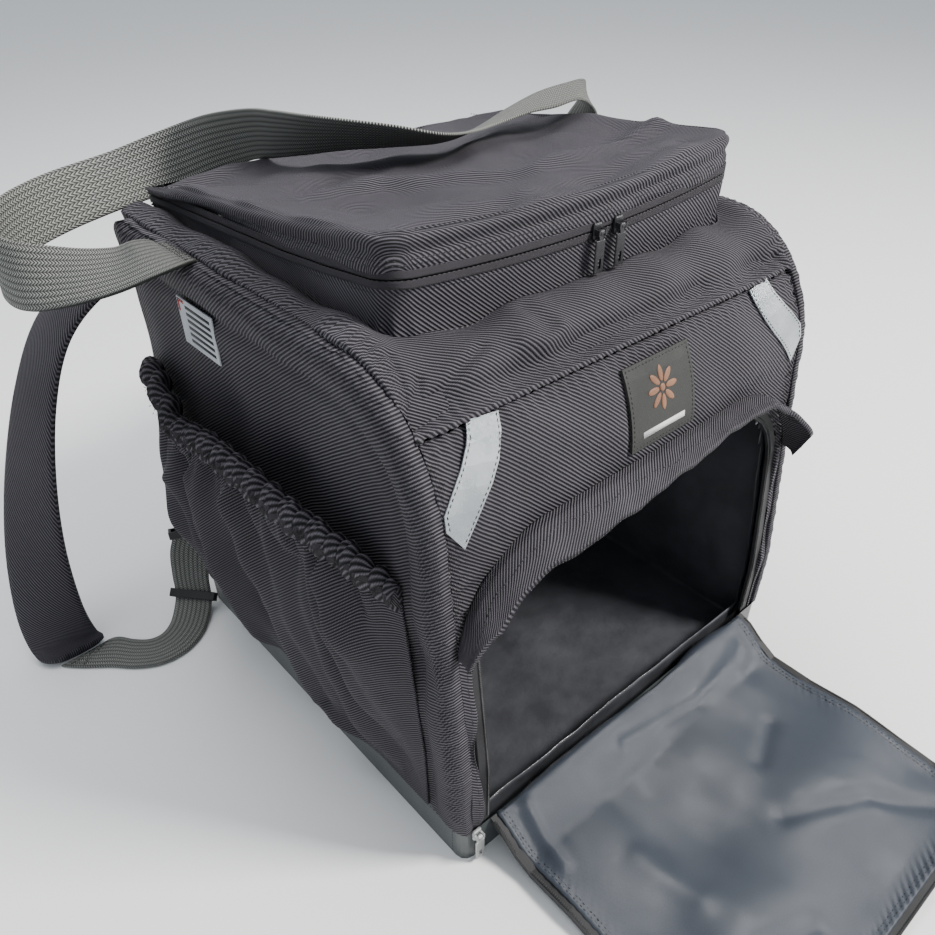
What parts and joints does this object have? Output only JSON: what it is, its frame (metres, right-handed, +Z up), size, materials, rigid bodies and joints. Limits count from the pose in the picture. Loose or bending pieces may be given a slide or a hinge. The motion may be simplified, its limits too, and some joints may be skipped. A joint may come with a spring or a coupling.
{
  "type": "insulated delivery backpack",
  "caption": "Soft insulated delivery backpack with an arched front door laid open, a raised top compartment, gathered side pockets and webbing straps.",
  "frame": {"origin": "middle of the base's underside, on the surface that the backpack stands on", "axes": "+Z up; the open door faces -Y; +X to the right seen from the front; the wearer's back is towards +Y"},
  "size_m": [0.7654, 0.7953, 0.4833],
  "materials": {
    "twill": "heavy near-black diagonal twill",
    "vinyl": "smooth grey-green vinyl",
    "nylon": "shiny slate-blue coated nylon",
    "zip_tape": "black zip tape and coil",
    "webbing": "dark grey-green woven webbing",
    "reflector": "glossy silver-grey reflective tape",
    "rubber": "matt moulded rubber",
    "woven_label": "woven black and white stripes",
    "gunmetal": "dark plated metal",
    "grey_metal": "bare grey zinc",
    "black_plastic": "black moulded plastic"
  },
  "bodies": {
    "bag": {"base_boot": "vinyl", "front_panel": "twill", "top_panel": "twill", "back_panel": "twill", "compartment_wall": "twill", "top_zip": "zip_tape", "lid": "twill", "mouth_zip": "zip_tape", "awning": "twill", "door_flap": "nylon", "door_zip": "zip_tape", "front_patch": "rubber", "side_label": "woven_label", "carry_strap": "webbing", "top_slider_1": "gunmetal", "top_slider_2": "gunmetal", "door_slider": "grey_metal", "side_panel_left": "twill", "side_pocket_left": "twill", "pocket_hem_left": "twill", "reflective_strip_left": "reflector", "shoulder_pad_left": "twill", "shoulder_webbing_left": "webbing", "tri_glide_left": "black_plastic", "ladder_lock_left": "black_plastic", "side_panel_right": "twill", "side_pocket_right": "twill", "pocket_hem_right": "twill", "reflective_strip_right": "reflector", "shoulder_pad_right": "twill", "shoulder_webbing_right": "webbing", "tri_glide_right": "black_plastic", "ladder_lock_right": "black_plastic"},
    "upper_pull_1": {"top_pull_1": "gunmetal"},
    "upper_pull_2": {"top_pull_2": "gunmetal"},
    "lower_pull": {"door_pull": "grey_metal"}
  },
  "joints": [
    {"name": "top_pull_1_swing", "type": "hinge", "parent": "bag", "child": "upper_pull_1", "pos_m": [0, -0.1256, 0.443], "axis": [-1, 0, 0], "range_deg": [0, 150]},
    {"name": "top_pull_2_swing", "type": "hinge", "parent": "bag", "child": "upper_pull_2", "pos_m": [0.021, -0.1256, 0.443], "axis": [-1, 0, 0], "range_deg": [0, 150]},
    {"name": "door_pull_swing", "type": "hinge", "parent": "bag", "child": "lower_pull", "pos_m": [-0.188, -0.2156, 0.03325], "axis": [-1, 0, 0], "range_deg": [0, 120]}
  ]
}
